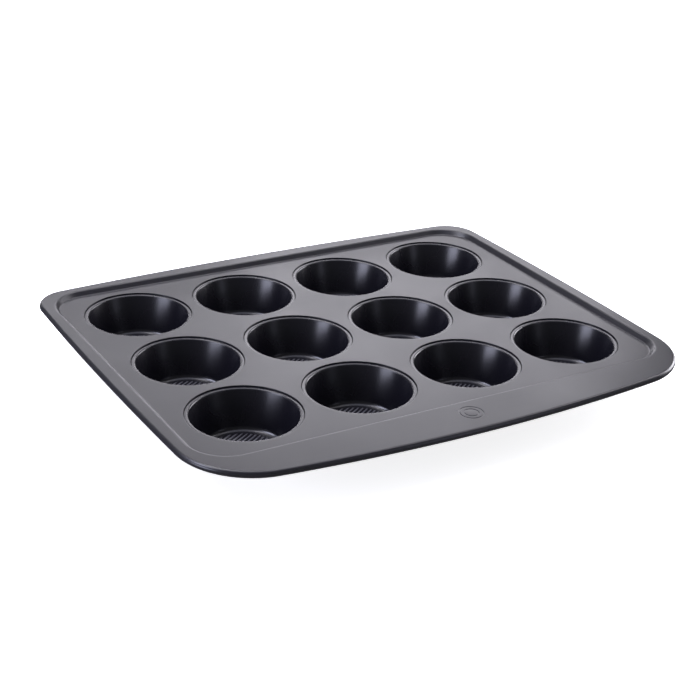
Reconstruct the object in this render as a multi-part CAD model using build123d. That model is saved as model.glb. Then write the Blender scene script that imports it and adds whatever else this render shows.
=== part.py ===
from build123d import *
import os
from math import atan2, cos, pi, radians, sin, tan

# Muffin tin: twelve drawn cups seamed into a pressed top sheet whose rim is
# rolled round a steel wire.  Millimetres, +Z up.  The origin is under the
# middle of the tin, on the plane that the cup bases rest on; -Y is the front,
# where the rim is widest.

# ---- driving dimensions ----
TIN_LENGTH = 368.6          # X, over the rolled edge
TIN_WIDTH = 310.4           # Y, over the rolled edge
SHEET = 0.8                 # thickness of both the top sheet and the cups

CUP_COLUMNS = 4
CUP_ROWS = 3
CUP_PITCH = 82.0
GRID_Y = 12.8               # the cups sit behind the middle: the front rim is wider

MOUTH_RADIUS = 34.4         # inside of the cup, level with its flange
CUP_DEPTH = 26.4            # flange top to cup floor
FLANGE_DROP = 0.9           # the flanges lie this far below the sheet round them
FLOOR_RADIUS = 24.8         # flat part of the floor
FLOOR_FILLET = 4.0
LIP_RADIUS = 1.2            # rounded lip from the flange into the cup
FLANGE_RADIUS = 37.1

SEAT_GAP = 0.1              # between a flange's edge and the sheet round it
SEAT_RADIUS = FLANGE_RADIUS + SEAT_GAP
HOLE_RADIUS = 36.0          # hole that the cup hangs in
BEAD_RADIUS = 36.6          # swaged bead that locks the cup under its seat
BEAD_HEIGHT = 0.9

RIDGE_PITCH = 2.8           # raised ridges on the cup floor
RIDGE_WIDTH = 1.3
RIDGE_HEIGHT = 0.6
RIDGE_FIELD_RADIUS = 23.6   # the ridges stay inside this circle
RIDGE_BEND = 104.0          # radius of the ridge through the cup's centre
RIDGE_HEADING = 23.0        # degrees from +X of that ridge

WELL_LENGTH = 342.6         # recessed middle of the sheet, at the foot of its step
WELL_WIDTH = 257.6
WELL_CORNER = 24.0
WELL_Y = 11.0               # middle of the recess
STEP_HEIGHT = 3.2
STEP_RUN = 2.8
STEP_FILLET = 1.2
STEP_STRIP = 1.5            # flat sheet formed together with the step, on both sides of it

WIRE_RADIUS = 1.5
CURL_RADIUS = WIRE_RADIUS + SHEET
CURL_STRIP = 2.0            # width of flat rim formed together with the curl
CURL_TURN = 250.0           # degrees that the sheet turns round the wire
SIDE_BOW = 2.9              # outward bow of each edge of the tin
BACK_BOW = 6.2
FRONT_BOW = 14.1
BACK_CORNER = 22.0
FRONT_CORNER = 48.4

MARK_Y = -135.2             # two rings pressed into the front rim
MARK_RADII = (8.0, 5.0)     # outside of each ring
MARK_LINE = 0.9
MARK_DEPTH = 0.25

# ---- heights ----
CUP_TOP = SHEET + CUP_DEPTH
SEAT_TOP = CUP_TOP - SHEET
SHEET_TOP = CUP_TOP + FLANGE_DROP
RIM_TOP = SHEET_TOP + STEP_HEIGHT
CURL_Z = RIM_TOP - CURL_RADIUS


def cup_places():
    """Name and centre of every cup; row 1 is the front row, column 1 the left."""
    for row in range(CUP_ROWS):
        for column in range(CUP_COLUMNS):
            x = (column - (CUP_COLUMNS - 1) / 2) * CUP_PITCH
            y = (row - (CUP_ROWS - 1) / 2) * CUP_PITCH + GRID_Y
            yield f"cup_row{row + 1}_col{column + 1}", x, y


def disc(radius, height):
    """Upright cylinder standing on z = 0."""
    return Cylinder(radius, height, align=(Align.CENTER, Align.CENTER, Align.MIN))


# ---- cup ----
def cup_wall_radius(z):
    """Inside radius of the tapered wall, before its fillets, at height z."""
    slant = atan2(MOUTH_RADIUS - FLOOR_RADIUS, CUP_DEPTH)
    foot = FLOOR_RADIUS + FLOOR_FILLET * tan((pi / 2 - slant) / 2)
    return foot + (MOUTH_RADIUS - foot) * (z - SHEET) / CUP_DEPTH


def cup_inside():
    """The space inside a cup, from its floor up past its mouth."""
    foot = cup_wall_radius(SHEET)
    outline = Polyline((0, SHEET), (foot, SHEET), (MOUTH_RADIUS, CUP_TOP), (0, CUP_TOP), close=True)
    body = revolve(Plane.XZ * make_face(outline), Axis.Z)
    floor_edge = body.edges().group_by(Axis.Z)[0]
    return fillet(floor_edge, FLOOR_FILLET)


def cup_outside():
    """Outer skin of a cup: tapered pot, flange and the locking bead below it."""
    slope = (cup_wall_radius(CUP_TOP) - cup_wall_radius(SHEET)) / CUP_DEPTH
    top = MOUTH_RADIUS + SHEET
    foot = top - slope * CUP_TOP
    pot = Polyline((0, 0), (foot, 0), (top, CUP_TOP), (0, CUP_TOP), close=True)
    pot = revolve(Plane.XZ * make_face(pot), Axis.Z)
    pot = fillet(pot.edges().group_by(Axis.Z)[0], FLOOR_FILLET + SHEET)
    flange = Pos(0, 0, SEAT_TOP) * disc(FLANGE_RADIUS, SHEET)
    bead_base = Pos(0, 0, SEAT_TOP - SHEET - BEAD_HEIGHT)
    neck = bead_base * disc(HOLE_RADIUS, SHEET + BEAD_HEIGHT)
    bead = bead_base * disc(BEAD_RADIUS, BEAD_HEIGHT)
    return pot + flange + neck + bead


def floor_ridges():
    """Low curved ridges across the cup floor, all bent round one far centre."""
    heading = radians(RIDGE_HEADING)
    centre = Pos(-RIDGE_BEND * sin(heading), RIDGE_BEND * cos(heading), 0)
    count = int(RIDGE_FIELD_RADIUS / RIDGE_PITCH)
    rings = Sketch()
    for step in range(-count, count + 1):
        radius = RIDGE_BEND + step * RIDGE_PITCH
        rings += centre * (Circle(radius + RIDGE_WIDTH / 2) - Circle(radius - RIDGE_WIDTH / 2))
    field = rings & Circle(RIDGE_FIELD_RADIUS)
    return extrude(Pos(0, 0, SHEET) * field, RIDGE_HEIGHT)


def cup():
    """One drawn cup, centred on Z."""
    shell = cup_outside() - cup_inside()
    mouth = shell.edges().filter_by(GeomType.CIRCLE).filter_by(
        lambda e: abs(e.radius - MOUTH_RADIUS) < 0.01 and e.center().Z > SEAT_TOP)
    shell = fillet(mouth, LIP_RADIUS)
    return shell + floor_ridges()


# ---- top sheet ----
def edge_outline():
    """Face bounded by the centre line of the rolled edge: four bowed sides, rounded corners."""
    x_mid = TIN_LENGTH / 2 - CURL_RADIUS
    y_mid = TIN_WIDTH / 2 - CURL_RADIUS
    x_corner = x_mid - SIDE_BOW
    back_left = (-x_corner, y_mid - BACK_BOW)
    back_right = (x_corner, y_mid - BACK_BOW)
    front_left = (-x_corner, FRONT_BOW - y_mid)
    front_right = (x_corner, FRONT_BOW - y_mid)
    side_middle = (back_right[1] + front_right[1]) / 2
    sides = Curve() + [
        ThreePointArc(back_left, (0, y_mid), back_right),
        ThreePointArc(back_right, (x_mid, side_middle), front_right),
        ThreePointArc(front_right, (0, -y_mid), front_left),
        ThreePointArc(front_left, (-x_mid, side_middle), back_left)]
    face = make_face(sides)
    face = fillet(face.vertices().sort_by(Axis.Y)[:2], FRONT_CORNER)
    return fillet(face.vertices().sort_by(Axis.Y)[-2:], BACK_CORNER)


def well_outline(widen):
    """Outline of the recess at the foot of its step, moved outwards by widen."""
    outline = RectangleRounded(WELL_LENGTH + 2 * widen, WELL_WIDTH + 2 * widen, WELL_CORNER + widen)
    return Pos(0, WELL_Y) * outline


def step_section():
    """Section of the sloping step: X outwards from its foot, Y up from the recess."""
    shift = SHEET * tan(atan2(STEP_HEIGHT, STEP_RUN) / 2)
    outer_x = STEP_RUN + STEP_STRIP
    small = STEP_FILLET
    large = STEP_FILLET + SHEET
    upper = FilletPolyline(
        (-STEP_STRIP, 0), (0, 0), (STEP_RUN, STEP_HEIGHT), (outer_x, STEP_HEIGHT),
        radius=[small, large])
    lower = FilletPolyline(
        (-STEP_STRIP, -SHEET), (shift, -SHEET), (STEP_RUN + shift, STEP_HEIGHT - SHEET),
        (outer_x, STEP_HEIGHT - SHEET), radius=[large, small])
    ends = [Line(upper @ 0, lower @ 0), Line(upper @ 1, lower @ 1)]
    return make_face(Curve() + [upper, lower] + ends)


def curl_section():
    """Section of the rolled edge: a strip of flat rim, then the turn round the wire."""
    turn_start = (0, CURL_RADIUS)
    outer = CenterArc((0, 0), CURL_RADIUS, 90, -CURL_TURN)
    inner = CenterArc((0, 0), WIRE_RADIUS, 90, -CURL_TURN)
    outline = Curve() + [
        Line((-CURL_STRIP, CURL_RADIUS), turn_start),
        outer,
        Line(outer @ 1, inner @ 1),
        inner,
        Line((0, WIRE_RADIUS), (-CURL_STRIP, WIRE_RADIUS)),
        Line((-CURL_STRIP, WIRE_RADIUS), (-CURL_STRIP, CURL_RADIUS))]
    return make_face(outline)


def sweep_round(section, outline, z):
    """A section carried round an outline at height z; its X points outwards, its Y up."""
    path = (Pos(0, 0, z) * outline).wire()
    back_middle = Plane((0, path.bounding_box().max.Y, z), x_dir=(0, 1, 0), z_dir=(1, 0, 0))
    return sweep(back_middle * section, path, transition=Transition.RIGHT)


def pressed_sheet():
    """The sheet without its holes: recessed middle, sloping step, flat rim and rolled edge."""
    middle = extrude(Pos(0, 0, SHEET_TOP - SHEET) * well_outline(-STEP_STRIP), SHEET)
    step = sweep_round(step_section(), well_outline(0), SHEET_TOP)
    flat_rim = offset(edge_outline(), -CURL_STRIP) - well_outline(STEP_RUN + STEP_STRIP)
    rim = extrude(Pos(0, 0, RIM_TOP - SHEET) * flat_rim, SHEET)
    curl = sweep_round(curl_section(), edge_outline(), CURL_Z)
    return middle + step + rim + curl


def seat_boss():
    """Added below the sheet so that the joggled seat keeps the sheet's thickness."""
    return disc(SEAT_RADIUS + SHEET, SHEET + FLANGE_DROP)


def seat_cut():
    """Removed for one cup: the stepped recess of its flange and the hole below it."""
    return disc(HOLE_RADIUS, SHEET) + Pos(0, 0, SHEET) * disc(SEAT_RADIUS, SHEET + FLANGE_DROP)


def rim_mark():
    """Two shallow pressed rings."""
    rings = Sketch()
    for radius in MARK_RADII:
        rings += Circle(radius) - Circle(radius - MARK_LINE)
    return extrude(Pos(0, MARK_Y, RIM_TOP - MARK_DEPTH) * rings, MARK_DEPTH)


def top_sheet():
    """Pressed sheet with the rolled edge, twelve cup seats and the rim mark."""
    sheet = pressed_sheet()
    seats = [Pos(x, y, SEAT_TOP - SHEET) for _, x, y in cup_places()]
    sheet = sheet + [seat * seat_boss() for seat in seats]
    sheet = sheet - [seat * seat_cut() for seat in seats]
    return sheet - rim_mark()


# ---- assembly ----
def tin():
    """Every piece of the tin by node name."""
    wire = sweep_round(Circle(WIRE_RADIUS), edge_outline(), CURL_Z)
    pieces = {"top_sheet": top_sheet(), "rim_wire": wire}
    one_cup = cup()
    for name, x, y in cup_places():
        pieces[name] = Pos(x, y, 0) * one_cup
    return pieces


if __name__ == "__main__":
    os.makedirs("parts", exist_ok=True)
    for name, shape in tin().items():
        shape.label = name
        export_step(shape, f"parts/{name}.step")
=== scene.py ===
"""Looks of the muffin tin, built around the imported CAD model.

The tin's own lengths are in millimetres until a mesh is made in metres. The
materials, the lamps and the floor are set up in metres. The twelve cups share
one mesh, and each stands where its CAD node is.
"""
import math

import bmesh
import bpy
from mathutils import Matrix, Vector
from mathutils.geometry import delaunay_2d_cdt


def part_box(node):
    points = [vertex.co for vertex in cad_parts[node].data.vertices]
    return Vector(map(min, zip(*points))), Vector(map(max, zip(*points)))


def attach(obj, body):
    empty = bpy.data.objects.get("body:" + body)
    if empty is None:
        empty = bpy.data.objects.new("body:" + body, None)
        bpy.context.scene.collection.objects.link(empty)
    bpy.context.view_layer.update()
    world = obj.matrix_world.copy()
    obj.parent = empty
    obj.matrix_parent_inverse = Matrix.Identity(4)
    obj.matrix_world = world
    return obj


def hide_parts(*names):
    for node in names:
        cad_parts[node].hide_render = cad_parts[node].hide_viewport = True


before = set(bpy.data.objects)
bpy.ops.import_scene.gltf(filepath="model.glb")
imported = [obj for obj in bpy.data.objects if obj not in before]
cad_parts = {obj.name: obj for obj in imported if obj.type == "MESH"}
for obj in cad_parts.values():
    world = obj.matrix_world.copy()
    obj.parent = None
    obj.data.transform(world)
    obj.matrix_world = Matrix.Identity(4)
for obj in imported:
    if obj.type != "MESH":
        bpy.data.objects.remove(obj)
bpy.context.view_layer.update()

MM = 0.001
SHEET = 0.8                     # thickness of the top sheet and of the cups

# ---- sizes in millimetres, most of them shared with the CAD model ----
# A cup, from its mouth to its floor, and how it sits in the sheet.
MOUTH_RADIUS = 34.4             # inside the lip, where wall and flange would meet
FLOOR_RADIUS = 24.8
FLOOR_FILLET = 4.0
LIP_RADIUS = 1.2
FLANGE_DROP = 0.9               # from the sheet's upper face down to the flange's
FLANGE_RADIUS = 37.1
FLANGE_EDGE = 0.5               # rounding of the flange's upper edge
SEAT_RADIUS = 37.2
HOLE_RADIUS = 36.0
BEAD_RADIUS = 36.6              # swaged under the seat, to hold the cup
BEAD_HEIGHT = 0.9
BEAD_TOP_EDGE = 0.2
BEAD_LOW_EDGE = 0.3
BEAD_RELIEF = 0.1               # how far below the bead its underside meets the wall

# The pressed ridges of a cup's floor, which follow circles about a far point.
RIDGE_PITCH = 2.8
RIDGE_HEIGHT = 0.6
RIDGE_BEND = 104.0
RIDGE_HEADING = math.radians(23.0)
RIDGE_FIELD = 24.0
RIDGE_FADE = 1.8                # width of the band where they die out
RIDGE_SHARPNESS = 1.3           # power that makes the crests narrower than the troughs

# The recessed middle of the sheet, and the step up to the rim.
WELL_LENGTH = 342.6
WELL_WIDTH = 257.6
WELL_CORNER = 24.0
WELL_Y = 11.0
STEP_RUN = 2.8
STEP_FILLET = 1.2
STEP_STRIP = 1.5                # flat strip beside the step, where its rings end

# The rolled edge and the outline that it follows.
WIRE_RADIUS = 1.5
CURL_RADIUS = WIRE_RADIUS + SHEET
CURL_TURN = math.radians(250.0)
CURL_STRIP = 2.0                # flat strip inside the roll, where its rings end
CURL_LEAD = 0.3                 # last flat stretch before the roll starts
SIDE_BOW = 2.9
BACK_BOW = 6.2
FRONT_BOW = 14.1
BACK_CORNER = 22.0
FRONT_CORNER = 48.4

# The stepped seat of a cup.
SEAT_EDGE = 0.15                # where the seat meets the sheet's two faces
SEAT_CREASE = 0.1               # the seat's inner corner, and the flange's edge in it
BOSS_EDGE = 0.3                 # lower edge of the boss that the seat makes below
BOSS_STRIP = 0.6                # flat strip outside the boss, where its rings end

# The two rings pressed into the front rim.
MARK_Y = -135.2
MARK_RADII = (8.0, 5.0)
MARK_LINE = 0.9
MARK_DEPTH = 0.25
MARK_SLOPE = 0.15               # width of each sloping wall
MARK_EDGE = 0.12
MARK_MARGIN = 1.0               # flat ring round the mark, where its rings end
MARK_CORE = 0.5                 # flat disc in its middle

# ---- how finely round shapes are divided ----
SECTION_STEP = math.radians(11.0)
WELL_CORNER_STEP = math.radians(3.0)
WELL_SIDE_SEGMENTS = 24
EDGE_CORNER_STEP = math.radians(2.5)
EDGE_SIDE_SEGMENTS = 40
CURL_OUTER_SEGMENTS = 34
CURL_INNER_SEGMENTS = 20
CUP_SEGMENTS = 240
RIDGE_RINGS = 46
SEAT_SEGMENTS = 128
MARK_SEGMENTS = 96
SAME_POINT = 1e-5               # points of a filled face closer than this are one

# ---- places read from the frame; heights are above the plane that the cups rest on ----
CUP_NODES = sorted(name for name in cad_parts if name.startswith("cup_"))


def middle(node_name):
    """Middle of a CAD node's box, in millimetres."""
    low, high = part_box(node_name)
    return (low + high) / 2 / MM


_, cup_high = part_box(CUP_NODES[0])
sheet_low, sheet_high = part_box("top_sheet")
CUP_TOP = cup_high.z / MM
SEAT_TOP = CUP_TOP - SHEET
SHEET_TOP = CUP_TOP + FLANGE_DROP
SHEET_BASE = SHEET_TOP - SHEET
RIM_TOP = sheet_high.z / MM
CURL_Z = RIM_TOP - CURL_RADIUS
TIN_LENGTH = (sheet_high.x - sheet_low.x) / MM
TIN_WIDTH = (sheet_high.y - sheet_low.y) / MM
CUP_PLACES = {name: middle(name) for name in CUP_NODES}
GRID_Y = sum(place.y for place in CUP_PLACES.values()) / len(CUP_PLACES)


# ---- sections: lists of (out, z) ----
def rounded(points):
    """A section's points, with each corner that names a radius turned into an arc.

    Every entry is (out, z) or (out, z, radius).
    """
    section = []
    last = len(points) - 1
    for i, point in enumerate(points):
        corner = Vector(point[:2])
        if len(point) == 2 or i in (0, last):
            section.append(tuple(corner))
            continue
        radius = point[2]
        came = (corner - Vector(points[i - 1][:2])).normalized()
        goes = (Vector(points[i + 1][:2]) - corner).normalized()
        turn = math.atan2(came.x * goes.y - came.y * goes.x, came.dot(goes))
        side = math.copysign(1.0, turn)
        start = corner - came * radius * math.tan(abs(turn) / 2)
        normal = Vector((-came.y, came.x)) * side
        centre = start + normal * radius
        spoke = start - centre
        count = max(2, math.ceil(abs(turn) / SECTION_STEP))
        for k in range(count + 1):
            angle = turn * k / count
            section.append((
                centre.x + spoke.x * math.cos(angle) - spoke.y * math.sin(angle),
                centre.y + spoke.x * math.sin(angle) + spoke.y * math.cos(angle)))
    return section


def arc_section(radius, start, turn, centre_z, count):
    """Points of an arc in a section, about (0, centre_z); angles are from outwards, upwards."""
    angles = [start + turn * k / count for k in range(count + 1)]
    return [(radius * math.cos(a), centre_z + radius * math.sin(a)) for a in angles]


# ---- outlines: lists of (x, y, normal x, normal y), anticlockwise seen from above ----
def arc_frames(centre, radius, start, turn, step):
    """Frames along an arc, without the one at its end, which starts the next stretch."""
    count = max(1, math.ceil(abs(turn) / step))
    frames = []
    for k in range(count):
        angle = start + turn * k / count
        c, s = math.cos(angle), math.sin(angle)
        frames.append((centre.x + radius * c, centre.y + radius * s, c, s))
    return frames


def circle_frames(x, y, count):
    """Frames that all start at the circle's centre, so that 'out' is the radius."""
    return arc_frames(Vector((x, y)), 0.0, 0.0, 2 * math.pi, 2 * math.pi / count)


def well_frames():
    """The recess at the foot of its step: straight sides and round corners."""
    half_x = WELL_LENGTH / 2 - WELL_CORNER
    half_y = WELL_WIDTH / 2 - WELL_CORNER
    quarter = math.pi / 2
    corners = [(half_x, half_y), (-half_x, half_y), (-half_x, -half_y), (half_x, -half_y)]
    centres = [Vector((x, y + WELL_Y)) for x, y in corners]
    frames = []
    for k, centre in enumerate(centres):
        frames += arc_frames(centre, WELL_CORNER, k * quarter, quarter, WELL_CORNER_STEP)
        end = (k + 1) * quarter
        normal = Vector((math.cos(end), math.sin(end)))
        begin = centre + normal * WELL_CORNER
        finish = centres[(k + 1) % len(centres)] + normal * WELL_CORNER
        for step in range(WELL_SIDE_SEGMENTS):
            at = begin.lerp(finish, step / WELL_SIDE_SEGMENTS)
            frames.append((at.x, at.y, normal.x, normal.y))
    return frames


def bowed_side(middle_point, outward, half_chord, bow):
    """Centre and radius of the arc that bows out by 'bow' from a chord."""
    radius = (half_chord ** 2 + bow ** 2) / (2 * bow)
    return Vector(middle_point) - Vector(outward) * radius, radius


def corner_circle(side_a, side_b, radius, near):
    """Centre of the corner arc that touches two sides' arcs from inside, near a point."""
    (a, ra), (b, rb) = side_a, side_b
    ra, rb = ra - radius, rb - radius
    across = b - a
    gap = across.length
    along = (ra * ra - rb * rb + gap * gap) / (2 * gap)
    rise = math.sqrt(ra * ra - along * along)
    base = a + across * along / gap
    normal = Vector((-across.y, across.x)) / gap
    return min((base + normal * rise, base - normal * rise), key=lambda p: (p - near).length)


def edge_frames():
    """Centre line of the rolled edge: four bowed sides with tangent corner arcs."""
    x_mid = TIN_LENGTH / 2 - CURL_RADIUS
    y_mid = TIN_WIDTH / 2 - CURL_RADIUS
    x_corner = x_mid - SIDE_BOW
    y_back = y_mid - BACK_BOW
    y_front = FRONT_BOW - y_mid
    side_y = (y_back + y_front) / 2
    side_half = (y_back - y_front) / 2
    right = bowed_side((x_mid, side_y), (1, 0), side_half, SIDE_BOW)
    back = bowed_side((0, y_mid), (0, 1), x_corner, BACK_BOW)
    left = bowed_side((-x_mid, side_y), (-1, 0), side_half, SIDE_BOW)
    front = bowed_side((0, -y_mid), (0, -1), x_corner, FRONT_BOW)
    sides = [right, back, left, front]
    corners = [
        corner_circle(right, back, BACK_CORNER, Vector((x_corner, y_back))),
        corner_circle(back, left, BACK_CORNER, Vector((-x_corner, y_back))),
        corner_circle(left, front, FRONT_CORNER, Vector((-x_corner, y_front))),
        corner_circle(front, right, FRONT_CORNER, Vector((x_corner, y_front)))]
    radii = [BACK_CORNER, BACK_CORNER, FRONT_CORNER, FRONT_CORNER]
    frames = []
    for k, (centre, radius) in enumerate(sides):
        begin = corners[k - 1] - centre
        end = corners[k] - centre
        start = math.atan2(begin.y, begin.x)
        turn = (math.atan2(end.y, end.x) - start) % (2 * math.pi)
        frames += arc_frames(centre, radius, start, turn, turn / EDGE_SIDE_SEGMENTS)
        next_centre, _ = sides[(k + 1) % len(sides)]
        after = corners[k] - next_centre
        start = start + turn
        turn = (math.atan2(after.y, after.x) - start) % (2 * math.pi)
        frames += arc_frames(corners[k], radii[k], start, turn, EDGE_CORNER_STEP)
    return frames


# ---- mesh building ----
class Shape:
    """Vertices in millimetres and faces, gathered ring by ring."""

    def __init__(self):
        self.points = []
        self.faces = []

    def ring(self, frames, out, z):
        """Adds one point per frame, moved out along its normal; returns their numbers."""
        start = len(self.points)
        self.points += [(x + nx * out, y + ny * out, z) for x, y, nx, ny in frames]
        return list(range(start, len(self.points)))

    def join(self, ring_a, ring_b):
        """Closes the band between two rings with four-sided faces."""
        count = len(ring_a)
        for i in range(count):
            j = (i + 1) % count
            self.faces.append((ring_a[i], ring_a[j], ring_b[j], ring_b[i]))

    def sweep(self, frames, section):
        """Carries a section round the frames; returns its first and last ring."""
        rings = [self.ring(frames, out, z) for out, z in section]
        for a, b in zip(rings, rings[1:]):
            self.join(a, b)
        return rings[0], rings[-1]

    def fan(self, ring, x, y, z):
        """Closes a ring on one point."""
        self.points.append((x, y, z))
        tip = len(self.points) - 1
        for i, a in enumerate(ring):
            self.faces.append((a, ring[(i + 1) % len(ring)], tip))

    def fill(self, outer, holes):
        """Flat triangles inside one ring and outside the rings of its holes."""
        loops = [outer] + holes
        index = [i for loop in loops for i in loop]
        flat = [Vector(self.points[i][:2]) for i in index]
        bounds = []
        start = 0
        for loop in loops:
            bounds.append(list(range(start, start + len(loop))))
            start += len(loop)
        triangles_inside = 1
        filled = delaunay_2d_cdt(flat, [], bounds, triangles_inside, SAME_POINT)
        _, _, faces, point_ids, _, loop_ids = filled
        source = [index[ids[0]] for ids in point_ids]
        for face, within in zip(faces, loop_ids):
            if within == [0]:
                self.faces.append(tuple(source[i] for i in face))

    def mesh(self, name):
        """A smooth Blender mesh in metres; the shape has to be closed."""
        mesh = bpy.data.meshes.new(name)
        mesh.from_pydata([Vector(p) * MM for p in self.points], [], self.faces)
        work = bmesh.new()
        work.from_mesh(mesh)
        bmesh.ops.recalc_face_normals(work, faces=work.faces)
        open_edges = sum(1 for e in work.edges if len(e.link_faces) != 2)
        if open_edges:
            raise ValueError(f"{name} has {open_edges} open edges")
        work.to_mesh(mesh)
        work.free()
        mesh.shade_smooth()
        return mesh


# ---- cup ----
def ridge_height(x, y):
    """Height of the pressed ridges above the flat floor, x and y from the cup's centre."""
    bend_x = -RIDGE_BEND * math.sin(RIDGE_HEADING)
    bend_y = RIDGE_BEND * math.cos(RIDGE_HEADING)
    across = math.hypot(x - bend_x, y - bend_y) - RIDGE_BEND
    wave = 0.5 + 0.5 * math.cos(2 * math.pi * across / RIDGE_PITCH)
    edge = min(1.0, max(0.0, (RIDGE_FIELD - math.hypot(x, y)) / RIDGE_FADE))
    return RIDGE_HEIGHT * wave ** RIDGE_SHARPNESS * edge * edge * (3 - 2 * edge)


def ridged_disc(shape, frames, base_z, outer_ring):
    """Closes a ring with a floor that carries the ridges."""
    previous = outer_ring
    for k in range(RIDGE_RINGS, 0, -1):
        radius = RIDGE_FIELD * k / (RIDGE_RINGS + 1)
        ring = shape.ring(frames, radius, base_z)
        for i in ring:
            x, y, z = shape.points[i]
            shape.points[i] = (x, y, z + ridge_height(x, y))
        shape.join(previous, ring)
        previous = ring
    shape.fan(previous, 0.0, 0.0, base_z + ridge_height(0.0, 0.0))


def cup_mesh():
    """One drawn cup, both of its faces, centred on x = y = 0."""
    depth = CUP_TOP - SHEET
    slant = math.atan2(MOUTH_RADIUS - FLOOR_RADIUS, depth)
    foot = FLOOR_RADIUS + FLOOR_FILLET * math.tan((math.pi / 2 - slant) / 2)
    slope = (MOUTH_RADIUS - foot) / depth
    outer_top = MOUTH_RADIUS + SHEET
    outer_foot = outer_top - slope * CUP_TOP
    bead_top = SEAT_TOP - SHEET
    bead_base = bead_top - BEAD_HEIGHT
    wall_at_bead = outer_top - slope * (CUP_TOP - bead_base)
    section = rounded([
        (RIDGE_FIELD, SHEET),
        (foot, SHEET, FLOOR_FILLET),
        (MOUTH_RADIUS, CUP_TOP, LIP_RADIUS),
        (FLANGE_RADIUS, CUP_TOP, FLANGE_EDGE),
        (FLANGE_RADIUS, SEAT_TOP, SEAT_CREASE),
        (HOLE_RADIUS, SEAT_TOP),
        (HOLE_RADIUS, bead_top),
        (BEAD_RADIUS, bead_top, BEAD_TOP_EDGE),
        (BEAD_RADIUS, bead_base, BEAD_LOW_EDGE),
        (wall_at_bead, bead_base - BEAD_RELIEF),
        (outer_foot, 0.0, FLOOR_FILLET + SHEET),
        (RIDGE_FIELD, 0.0)])
    shape = Shape()
    frames = circle_frames(0.0, 0.0, CUP_SEGMENTS)
    inner, outer = shape.sweep(frames, section)
    ridged_disc(shape, frames, SHEET, inner)
    ridged_disc(shape, frames, 0.0, outer)
    return shape.mesh("cup")


# ---- top sheet ----
def step_sections():
    """Upper and lower face of the sloping step, from the foot of the step outwards."""
    rise = RIM_TOP - SHEET_TOP
    shift = SHEET * math.tan(math.atan2(rise, STEP_RUN) / 2)
    small = STEP_FILLET
    large = STEP_FILLET + SHEET
    upper = rounded([
        (-STEP_STRIP, SHEET_TOP),
        (0.0, SHEET_TOP, small),
        (STEP_RUN, RIM_TOP, large),
        (STEP_RUN + STEP_STRIP, RIM_TOP)])
    lower = rounded([
        (-STEP_STRIP, SHEET_BASE),
        (shift, SHEET_BASE, large),
        (STEP_RUN + shift, RIM_TOP - SHEET, small),
        (STEP_RUN + STEP_STRIP, RIM_TOP - SHEET)])
    return upper, lower


def curl_section():
    """Rolled edge, from the flat rim's upper face round the wire to its lower face."""
    top = math.pi / 2
    outside = arc_section(CURL_RADIUS, top, -CURL_TURN, CURL_Z, CURL_OUTER_SEGMENTS)
    inside = arc_section(WIRE_RADIUS, top - CURL_TURN, CURL_TURN, CURL_Z, CURL_INNER_SEGMENTS)
    flat_above = [(-CURL_STRIP, RIM_TOP), (-CURL_LEAD, RIM_TOP)]
    flat_below = [(-CURL_STRIP, RIM_TOP - SHEET)]
    return flat_above + outside + inside + flat_below


def seat_section():
    """Stepped seat of one cup, from the sheet's upper face down to its lower face."""
    boss = SEAT_RADIUS + SHEET
    return rounded([
        (boss, SHEET_TOP),
        (SEAT_RADIUS, SHEET_TOP, SEAT_EDGE),
        (SEAT_RADIUS, SEAT_TOP, SEAT_CREASE),
        (HOLE_RADIUS, SEAT_TOP),
        (HOLE_RADIUS, SEAT_TOP - SHEET),
        (boss, SEAT_TOP - SHEET, BOSS_EDGE),
        (boss, SHEET_BASE, SEAT_EDGE),
        (boss + BOSS_STRIP, SHEET_BASE)])


def mark_section():
    """Two pressed rings, from outside the larger one to the middle of the smaller one."""
    base = RIM_TOP - MARK_DEPTH
    points = [(MARK_RADII[0] + MARK_MARGIN, RIM_TOP)]
    for radius in MARK_RADII:
        points += [
            (radius, RIM_TOP, MARK_EDGE),
            (radius - MARK_SLOPE, base, MARK_EDGE),
            (radius - MARK_LINE + MARK_SLOPE, base, MARK_EDGE),
            (radius - MARK_LINE, RIM_TOP, MARK_EDGE)]
    return rounded(points + [(MARK_CORE, RIM_TOP)])


def sheet_mesh():
    """The pressed top sheet: well, step, rim and rolled edge, twelve seats and the mark."""
    shape = Shape()
    upper, lower = step_sections()
    upper_in, upper_out = shape.sweep(well_frames(), upper)
    lower_in, lower_out = shape.sweep(well_frames(), lower)
    rim_upper, rim_lower = shape.sweep(edge_frames(), curl_section())
    seats = []
    for place in CUP_PLACES.values():
        circle = circle_frames(place.x, place.y, SEAT_SEGMENTS)
        seats.append(shape.sweep(circle, seat_section()))
    mark_circle = circle_frames(0.0, MARK_Y, MARK_SEGMENTS)
    mark_out, mark_in = shape.sweep(mark_circle, mark_section())
    shape.fan(mark_in, 0.0, MARK_Y, RIM_TOP)
    shape.fill(upper_in, [top for top, _ in seats])
    shape.fill(lower_in, [bottom for _, bottom in seats])
    shape.fill(rim_upper, [upper_out, mark_out])
    shape.fill(rim_lower, [lower_out])
    return shape.mesh("top_sheet_visual")


# ---- materials ----
UNIT = (0.0, 1.0)
WHITE = (1.0, 1.0, 1.0, 1.0)
BUMP_DEPTH = 0.00002            # metres

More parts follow.
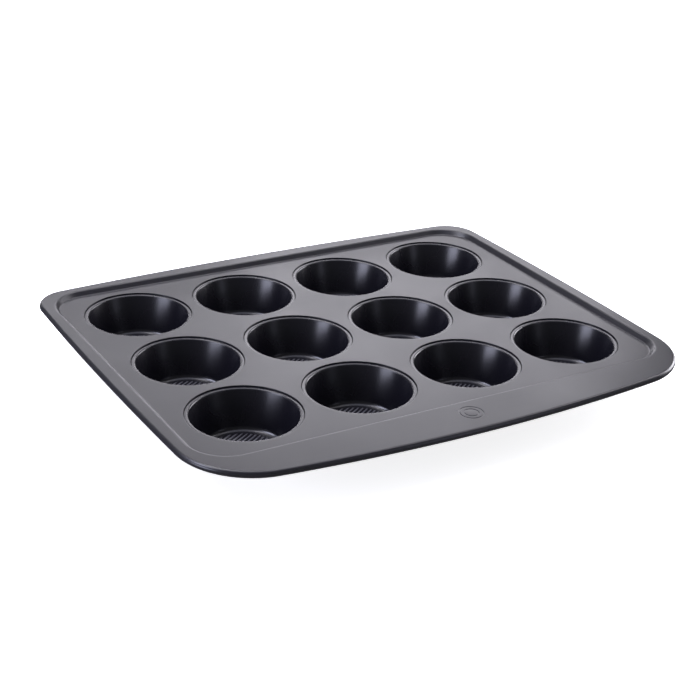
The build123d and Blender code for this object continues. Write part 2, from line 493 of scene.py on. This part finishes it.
# The coating. The scales of its noises are in cells per metre, and a range is the
# stretch of a noise, or of a mesh's pointiness, that goes from nothing to full.
SHEET_COLOUR = (0.0075, 0.0072, 0.0095)
# painted shade: the cups carry the sheet's one coat, given a darker base to stand for the shade
# in their hollows
CUP_PAINTED_SHADE_COLOUR = (0.0045, 0.0043, 0.0068)
# painted highlight: pale grey painted on the tops of a cup floor's ridges, in place of the
# lamps' glints
CREST_HIGHLIGHT_COLOUR = (0.095, 0.095, 0.105)
CREST_HIGHLIGHT_RANGE = (0.3, 0.9)        # shares of a ridge's height
CREST_HIGHLIGHT_FADE = (0.7, 1.0)         # strength of the painted crest highlight, from patch to patch
FLAKE_SCALE = 1400.0
DARK_FLAKES = 0.75              # shares of the coating's colour
LIGHT_FLAKES = 1.3
RUBBED = 2.4
PEEL_SCALE = 420.0
EDGE_RANGE = (0.51, 0.58)
PATCH_SCALE = 90.0
PATCH_RANGE = (0.42, 0.62)
STREAK_SCALE = 28.0
STREAK_STRETCH = (1.0, 14.0, 3.0)
STREAK_TURN = (0.0, 0.0, 0.6)
STREAK_RANGE = (0.62, 0.78)
CLOUD_SCALE = 22.0
CLOUD_RANGE = (0.3, 0.7)
CLOUD_GLOSS = 0.03              # roughness that the clouds take or give
POLISH = 0.05                   # roughness that wear takes
SCUFF = 0.02                    # roughness that streaks give
COATING_IOR = 1.4

# The rim wire.
STEEL_COLOUR = (0.55, 0.55, 0.56)
STAIN_COLOUR = (0.36, 0.29, 0.23)
STAIN_SCALE = 35.0
STAIN_RANGE = (0.55, 0.75)
STAIN_STRENGTH = (0.0, 0.5)
GRAIN_SCALE = 900.0
GRAIN_RANGE = (0.3, 0.7)
GRAIN_ROUGHNESS = (0.28, 0.45)
GRAIN_BUMP = 0.3

# The paper under the tin.
PAPER_DARK = (0.88, 0.88, 0.88)
PAPER_LIGHT = (0.92, 0.92, 0.92)
FIBRE_SCALE = 600.0
PAPER_ROUGHNESS = 0.9
PAPER_SHEEN = 0.1
PAPER_GLOW = 0.8

# The Mix node's colour sockets have the names of its other sockets, so they go by place.
MIX_FACTOR = 0
MIX_FIRST = 6
MIX_SECOND = 7
MIX_RESULT = 2


def new_material(name):
    """A material with its node tree, its shader and the coordinates of its object."""
    material = bpy.data.materials.new(name)
    material.use_nodes = True
    tree = material.node_tree
    shader = tree.nodes["Principled BSDF"]
    place = node(tree, "ShaderNodeTexCoord").outputs["Object"]
    return material, tree, shader, place


def node(tree, kind, **values):
    """A new node with the properties given by name."""
    made = tree.nodes.new(kind)
    for name, value in values.items():
        setattr(made, name, value)
    return made


def noise(tree, vector, scale, detail):
    """Noise from 0 to 1 over a vector."""
    made = node(tree, "ShaderNodeTexNoise")
    made.inputs["Scale"].default_value = scale
    made.inputs["Detail"].default_value = detail
    tree.links.new(vector, made.inputs["Vector"])
    return made.outputs["Fac"]


def remap(tree, value, source, target=UNIT):
    """Carries one range over to another, and stops at both ends."""
    made = node(tree, "ShaderNodeMapRange")
    made.inputs["From Min"].default_value = source[0]
    made.inputs["From Max"].default_value = source[1]
    made.inputs["To Min"].default_value = target[0]
    made.inputs["To Max"].default_value = target[1]
    tree.links.new(value, made.inputs["Value"])
    return made.outputs["Result"]


def combine(tree, operation, first, second):
    """One arithmetic operation on two outputs."""
    made = node(tree, "ShaderNodeMath", operation=operation)
    tree.links.new(first, made.inputs[0])
    tree.links.new(second, made.inputs[1])
    return made.outputs["Value"]


def blend(tree, factor, first, second):
    """Mix of two colours; either may be a constant or another node's output."""
    made = node(tree, "ShaderNodeMix", data_type="RGBA")
    tree.links.new(factor, made.inputs[MIX_FACTOR])
    for socket, colour in ((MIX_FIRST, first), (MIX_SECOND, second)):
        if isinstance(colour, tuple):
            made.inputs[socket].default_value = (*colour, 1.0)
        else:
            tree.links.new(colour, made.inputs[socket])
    return made.outputs[MIX_RESULT]


def bumped(tree, height, strength, normal=None):
    """A normal that a height bumps, on top of another bumped normal if one is given."""
    made = node(tree, "ShaderNodeBump")
    made.inputs["Strength"].default_value = strength
    made.inputs["Distance"].default_value = BUMP_DEPTH
    tree.links.new(height, made.inputs["Height"])
    if normal is not None:
        tree.links.new(normal, made.inputs["Normal"])
    return made.outputs["Normal"]


def crest_highlight_mask(tree, place):
    """Where the painted highlight goes: 1 on the tops of the ridges of a cup's floor, 0
    everywhere else.
    """
    split = node(tree, "ShaderNodeSeparateXYZ")
    tree.links.new(place, split.inputs["Vector"])
    flat = node(tree, "ShaderNodeCombineXYZ")
    tree.links.new(split.outputs["X"], flat.inputs["X"])
    tree.links.new(split.outputs["Y"], flat.inputs["Y"])
    radius = node(tree, "ShaderNodeVectorMath", operation="LENGTH")
    tree.links.new(flat.outputs["Vector"], radius.inputs[0])
    levels = [(SHEET + share * RIDGE_HEIGHT) * MM for share in CREST_HIGHLIGHT_RANGE]
    raised = remap(tree, split.outputs["Z"], levels)
    edge = RIDGE_FIELD * MM
    outside = (edge - MM, edge)
    inside = remap(tree, radius.outputs["Value"], outside, (1.0, 0.0))
    return combine(tree, "MULTIPLY", raised, inside)


def coating(name, colour, roughness, grain, crest_highlight_colour=None):
    """Dark non-stick coating over steel.

    It has orange peel and fine flakes, clouds of slightly different gloss, faint
    rubbed streaks, and paler, smoother edges where handling has polished it.
    With a crest highlight colour, the tops of the floor's ridges get that colour as a painted
    highlight.
    """
    material, tree, shader, place = new_material(name)
    flakes = noise(tree, place, FLAKE_SCALE, detail=3.0)
    peel = noise(tree, place, PEEL_SCALE, detail=1.5)
    clouds = noise(tree, place, CLOUD_SCALE, detail=4.0)
    patches = remap(tree, noise(tree, place, PATCH_SCALE, detail=4.0), PATCH_RANGE)

    stretch = node(tree, "ShaderNodeMapping")
    stretch.inputs["Scale"].default_value = STREAK_STRETCH
    stretch.inputs["Rotation"].default_value = STREAK_TURN
    tree.links.new(place, stretch.inputs["Vector"])
    drawn_out = noise(tree, stretch.outputs["Vector"], STREAK_SCALE, detail=5.0)
    streaks = remap(tree, drawn_out, STREAK_RANGE)

    bend = node(tree, "ShaderNodeNewGeometry").outputs["Pointiness"]
    wear = combine(tree, "MULTIPLY", remap(tree, bend, EDGE_RANGE), patches)

    dark = tuple(DARK_FLAKES * c for c in colour)
    light = tuple(LIGHT_FLAKES * c for c in colour)
    rubbed = tuple(RUBBED * c for c in colour)
    tone = blend(tree, wear, blend(tree, flakes, dark, light), rubbed)
    # painted highlight on the crests of the floor's ridges
    if crest_highlight_colour:
        highlight_fade = remap(tree, patches, UNIT, CREST_HIGHLIGHT_FADE)
        crest_highlights = combine(tree, "MULTIPLY", crest_highlight_mask(tree, place), highlight_fade)
        tone = blend(tree, crest_highlights, tone, crest_highlight_colour)
    tree.links.new(tone, shader.inputs["Base Color"])

    clouded = (roughness - CLOUD_GLOSS, roughness + CLOUD_GLOSS)
    gloss = remap(tree, clouds, CLOUD_RANGE, clouded)
    gloss = combine(tree, "SUBTRACT", gloss, remap(tree, wear, UNIT, (0.0, POLISH)))
    gloss = combine(tree, "ADD", gloss, remap(tree, streaks, UNIT, (0.0, SCUFF)))
    tree.links.new(gloss, shader.inputs["Roughness"])

    skin = bumped(tree, flakes, grain, bumped(tree, peel, grain))
    tree.links.new(skin, shader.inputs["Normal"])
    shader.inputs["IOR"].default_value = COATING_IOR
    return material


def wire_steel():
    """Steel wire: a fine uneven grain and gloss, and a trace of brown."""
    material, tree, shader, place = new_material("wire_steel")
    fine = noise(tree, place, GRAIN_SCALE, detail=4.0)
    patches = noise(tree, place, STAIN_SCALE, detail=4.0)
    stain = remap(tree, patches, STAIN_RANGE, STAIN_STRENGTH)
    tone = blend(tree, stain, STEEL_COLOUR, STAIN_COLOUR)
    tree.links.new(tone, shader.inputs["Base Color"])
    tree.links.new(remap(tree, fine, GRAIN_RANGE, GRAIN_ROUGHNESS), shader.inputs["Roughness"])
    tree.links.new(bumped(tree, fine, GRAIN_BUMP), shader.inputs["Normal"])
    shader.inputs["Metallic"].default_value = 1.0
    return material


def floor_paper():
    """Pale paper that glows a little, so that the shadows on it stay faint."""
    material, tree, shader, place = new_material("floor_paper")
    fibres = noise(tree, place, FIBRE_SCALE, detail=3.0)
    tree.links.new(blend(tree, fibres, PAPER_DARK, PAPER_LIGHT), shader.inputs["Base Color"])
    shader.inputs["Roughness"].default_value = PAPER_ROUGHNESS
    shader.inputs["Specular IOR Level"].default_value = PAPER_SHEEN
    shader.inputs["Emission Color"].default_value = WHITE
    shader.inputs["Emission Strength"].default_value = PAPER_GLOW
    return material


# ---- pieces ----
def paint(mesh, material):
    """Gives a mesh one material."""
    mesh.materials.clear()
    mesh.materials.append(material)


def show(name, mesh, replaced, x=0.0, y=0.0):
    """Places a coated piece, x and y in millimetres, in the stead of a CAD node."""
    piece = bpy.data.objects.new(name, mesh)
    bpy.context.scene.collection.objects.link(piece)
    piece.location = Vector((x, y, 0.0)) * MM
    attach(piece, "root")
    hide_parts(replaced)


sheet_coating = coating("sheet_coating", SHEET_COLOUR, roughness=0.31, grain=0.25)
# The cups' coating holds painted shade in its darker base and a painted highlight on the ridge
# crests.
cup_coating_painted_shade_and_highlights = coating(
    "cup_coating_painted_shade_and_highlights", CUP_PAINTED_SHADE_COLOUR, roughness=0.26, grain=0.12, crest_highlight_colour=CREST_HIGHLIGHT_COLOUR)

one_cup = cup_mesh()
paint(one_cup, cup_coating_painted_shade_and_highlights)
for cup_name, place in CUP_PLACES.items():
    show(cup_name + "_drawn", one_cup, cup_name, place.x, place.y)

top_sheet = sheet_mesh()
paint(top_sheet, sheet_coating)
show("top_sheet_pressed", top_sheet, "top_sheet")

paint(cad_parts["rim_wire"].data, wire_steel())

# ---- floor, in metres ----
FLOOR_SIZE = 80.0               # far enough for its edge to stay out of a low view
FLOOR_GAP = 0.0002              # below the cups, so that the two faces don't flicker

bpy.ops.mesh.primitive_plane_add(size=FLOOR_SIZE, location=(0.0, 0.0, -FLOOR_GAP))
floor = bpy.context.object
floor.name = "floor"
floor.data.materials.append(floor_paper())
floor.visible_glossy = False

# ---- light, in metres ----
WORLD_STRENGTH = 0.2
LAMP_DISTANCE = 1.6
NEUTRAL = (1.0, 0.98, 1.06)
COOL = (0.92, 0.94, 1.18)

# Name, azimuth and elevation in degrees, width, height, radiance and colour. The
# azimuth is a bearing from +Y towards +X, as seen from the tin.
LAMPS = [
    ("back_softbox", 12.0, 27.0, 0.75, 0.28, 3.4, NEUTRAL),
    ("back_right_softbox", 37.5, 25.5, 0.66, 0.32, 5.1, NEUTRAL),
    ("back_high_softbox", 0.0, 60.0, 0.5, 0.4, 14.0, NEUTRAL),
    ("back_right_high_softbox", 42.0, 58.0, 0.5, 0.4, 8.1, NEUTRAL),
    ("back_low_strip", 14.0, 4.0, 1.5, 0.2, 6.5, NEUTRAL),
    ("left_softbox", 268.0, 12.0, 0.75, 0.6, 10.5, COOL),
    ("left_high_softbox", 290.0, 48.0, 0.6, 0.5, 17.0, COOL),
    ("left_top_softbox", 305.0, 68.0, 0.5, 0.4, 9.0, NEUTRAL),
    ("right_softbox", 85.0, 15.0, 0.8, 0.8, 11.1, NEUTRAL),
    ("right_high_softbox", 82.0, 47.0, 0.6, 0.5, 6.0, NEUTRAL),
    ("right_top_softbox", 80.0, 68.0, 0.5, 0.4, 2.5, NEUTRAL),
    ("front_strip", 150.0, 20.0, 0.35, 0.6, 2.3, COOL),
    ("top_softbox", 0.0, 89.0, 1.0, 1.0, 1.6, COOL)]


def direction(azimuth, elevation):
    """Unit vector at a bearing from +Y towards +X and a height above the horizon, in degrees."""
    bearing = math.radians(azimuth)
    rise = math.radians(elevation)
    return Vector((
        math.sin(bearing) * math.cos(rise),
        math.cos(bearing) * math.cos(rise),
        math.sin(rise)))


def add_object(name, data, location, rotation):
    """Links a lamp or a camera at a location, turned by a quaternion."""
    made = bpy.data.objects.new(name, data)
    bpy.context.scene.collection.objects.link(made)
    made.location = location
    made.rotation_mode = "QUATERNION"
    made.rotation_quaternion = rotation
    return made


def softbox(name, azimuth, elevation, width, height, radiance, colour):
    """A rectangular area light aimed at the frame's origin, unseen by the camera."""
    towards = direction(azimuth, elevation)
    data = bpy.data.lights.new(name, "AREA")
    data.shape = "RECTANGLE"
    data.size = width
    data.size_y = height
    data.energy = radiance * math.pi * width * height
    data.color = colour
    aim = (-towards).to_track_quat("-Z", "Y")
    lamp = add_object(name, data, towards * LAMP_DISTANCE, aim)
    lamp.visible_camera = False


world = bpy.data.worlds.new("studio")
bpy.context.scene.world = world
world.use_nodes = True
background = world.node_tree.nodes["Background"]
background.inputs["Color"].default_value = WHITE
background.inputs["Strength"].default_value = WORLD_STRENGTH

for lamp_values in LAMPS:
    softbox(*lamp_values)

# ---- camera ----
VIEW_BEARING = 31.39            # degrees, the way that the camera looks
VIEW_DROP = 25.22               # degrees below the horizon
VIEW_ROLL = -2.61               # degrees
VIEW_DISTANCE = 1009.5          # millimetres, as are the next three
VIEW_TARGET = Vector((-19.0, GRID_Y - 32.2, SHEET_TOP))
SENSOR_WIDTH = 36.0
FOCAL_LENGTH = 77.44
CLIP_NEAR = 0.05                # metres
CLIP_FAR = 100.0                # metres


def add_camera():
    """The camera at the angle from which the tin is shown, a little rolled."""
    data = bpy.data.cameras.new("camera")
    data.sensor_width = SENSOR_WIDTH
    data.lens = FOCAL_LENGTH
    data.clip_start = CLIP_NEAR
    data.clip_end = CLIP_FAR
    forward = direction(VIEW_BEARING, -VIEW_DROP)
    roll = Matrix.Rotation(math.radians(VIEW_ROLL), 4, forward).to_quaternion()
    aim = roll @ forward.to_track_quat("-Z", "Y")
    place = (VIEW_TARGET - forward * VIEW_DISTANCE) * MM
    return add_object("camera", data, place, aim)


bpy.context.scene.camera = add_camera()
bpy.context.scene.view_settings.view_transform = "Standard"
